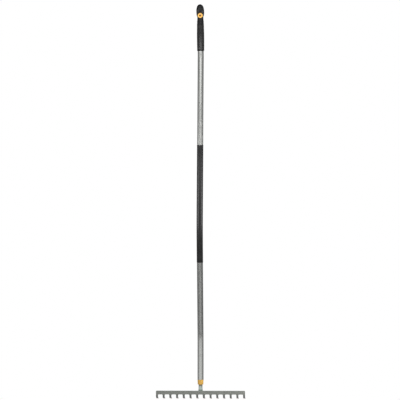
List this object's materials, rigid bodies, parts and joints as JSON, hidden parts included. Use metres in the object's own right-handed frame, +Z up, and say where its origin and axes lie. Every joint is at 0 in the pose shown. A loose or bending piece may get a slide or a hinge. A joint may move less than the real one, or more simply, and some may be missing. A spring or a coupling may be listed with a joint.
{
  "type": "garden rake",
  "caption": "Long-handled garden rake: a stamped steel head with bent tines on a gently S-bent aluminium tube with two grips and a hooked end knob with a hanging hole.",
  "frame": {"origin": "middle of the hanging hole in the end knob, which holds the rake when it is stored", "axes": "+Z up along the hanging rake, from the head to the knob; the front, which the user sees, faces -Y; the tines point to +Y; +X is to the right as seen from the front"},
  "size_m": [0.3736, 0.1321, 1.6522],
  "materials": {
    "head_lacquer": "satin grey lacquer on stamped steel",
    "zinc": "pale zinc plate",
    "tube_aluminium": "satin, with a fine grain along the tube",
    "orange_plastic": "moulded, half gloss",
    "knob_black": "moulded, glossy",
    "grip_black": "soft, finely textured",
    "sleeve_black": "thin shrunk sleeve, satin",
    "inner_plastic": "moulded"
  },
  "bodies": {
    "root": {"rake_head": "head_lacquer", "head_tang": "zinc", "tang_weld_left": "zinc", "tang_weld_right": "zinc", "tang_rivet": "zinc", "knob_pin": "zinc", "ferrule_collar": "orange_plastic", "eyelet_front": "orange_plastic", "eyelet_back": "orange_plastic", "tang_bush": "inner_plastic", "shaft_tube": "tube_aluminium", "middle_grip": "sleeve_black", "top_grip": "grip_black", "end_knob": "knob_black"}
  },
  "joints": []
}
